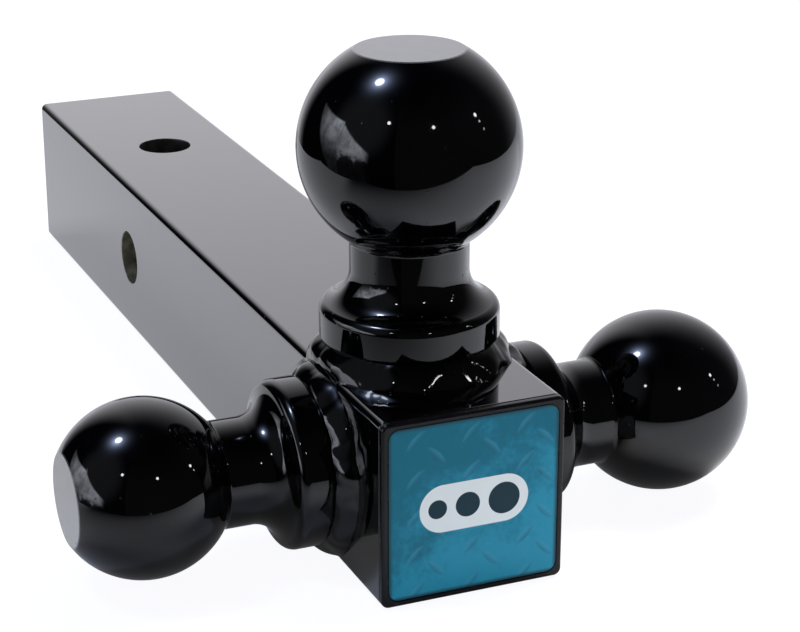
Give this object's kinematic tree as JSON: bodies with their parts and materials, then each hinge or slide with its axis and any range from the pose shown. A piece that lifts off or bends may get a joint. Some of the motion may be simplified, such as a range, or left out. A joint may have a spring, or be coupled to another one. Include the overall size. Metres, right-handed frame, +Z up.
{
  "type": "trailer hitch ball mount",
  "caption": "Hollow square receiver shank with hitch balls of different sizes welded round its front end and a labelled end plug, all painted gloss black.",
  "frame": {"origin": "where the shank's axis crosses the axis of the side-to-side pin hole", "axes": "+X to the right along the side-to-side pin hole, +Y along the shank to its open end, +Z up along the top ball's axis; the label faces -Y"},
  "size_m": [0.1936, 0.3259, 0.1359],
  "materials": {
    "black_paint": "gloss",
    "painted_weld": "gloss over rippled weld",
    "black_plastic": "satin",
    "teal_label": "semi-gloss print"
  },
  "bodies": {
    "root": {"shank_tube": "black_paint", "ball_top": "black_paint", "ball_left": "black_paint", "ball_right": "black_paint", "weld_top": "painted_weld", "weld_left": "painted_weld", "weld_right": "painted_weld", "end_plug": "black_plastic", "front_label": "teal_label"}
  },
  "joints": []
}
